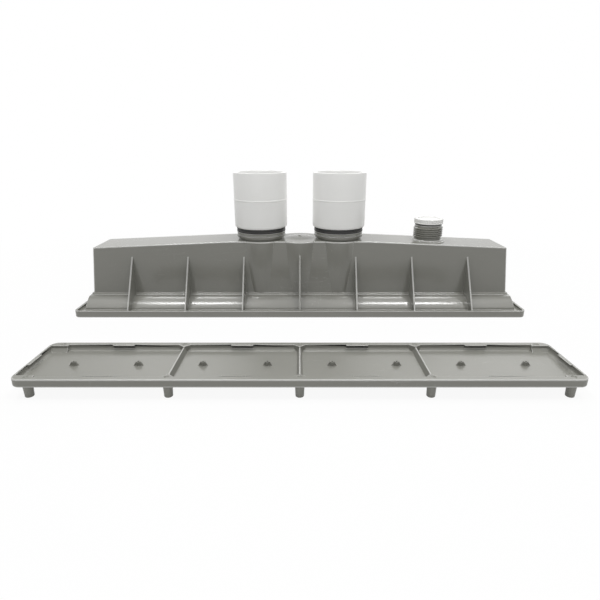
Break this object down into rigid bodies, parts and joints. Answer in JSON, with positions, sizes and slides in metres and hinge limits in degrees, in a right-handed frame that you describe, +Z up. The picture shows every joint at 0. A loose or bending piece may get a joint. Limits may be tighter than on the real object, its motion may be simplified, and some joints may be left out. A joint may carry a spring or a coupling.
{
  "type": "channel drain",
  "caption": "Plastic shower channel drain kit: a ribbed trough standing upside down with pipe sleeves on its outlets and a plugged inlet, and its tile tray in front on feet.",
  "frame": {"origin": "on the ground under the middle of the trough and tray layout", "axes": "+X along the drain, towards the inlet end; +Y from the tray to the trough; +Z up"},
  "size_m": [0.5, 0.293, 0.1522],
  "materials": {
    "grey_plastic": "gloss",
    "white_pipe": "satin",
    "white_plug": "satin",
    "black_rubber": "matte"
  },
  "bodies": {
    "drain": {"channel_body": "grey_plastic", "cover_tray": "grey_plastic", "outlet_sleeve_left": "white_pipe", "outlet_sleeve_right": "white_pipe", "outlet_seal_left": "black_rubber", "outlet_seal_right": "black_rubber"},
    "plug_gasket": {"inlet_plug_seal": "black_rubber"},
    "plug": {"inlet_plug": "white_plug"}
  },
  "joints": [
    {"name": "plug_lift", "type": "slide", "parent": "drain", "child": "plug_gasket", "axis": [0, 0, 1], "range_m": [0, 0.00924]},
    {"name": "plug_turn", "type": "hinge", "parent": "plug_gasket", "child": "plug", "pos_m": [0.15, 0.0855, 0.0949], "axis": [0, 0, 1], "range_deg": [0, 1440]}
  ],
  "couplings": [
    {"joint": "plug_lift", "follows": "plug_turn", "m_per_rad": 0.00036749}
  ]
}
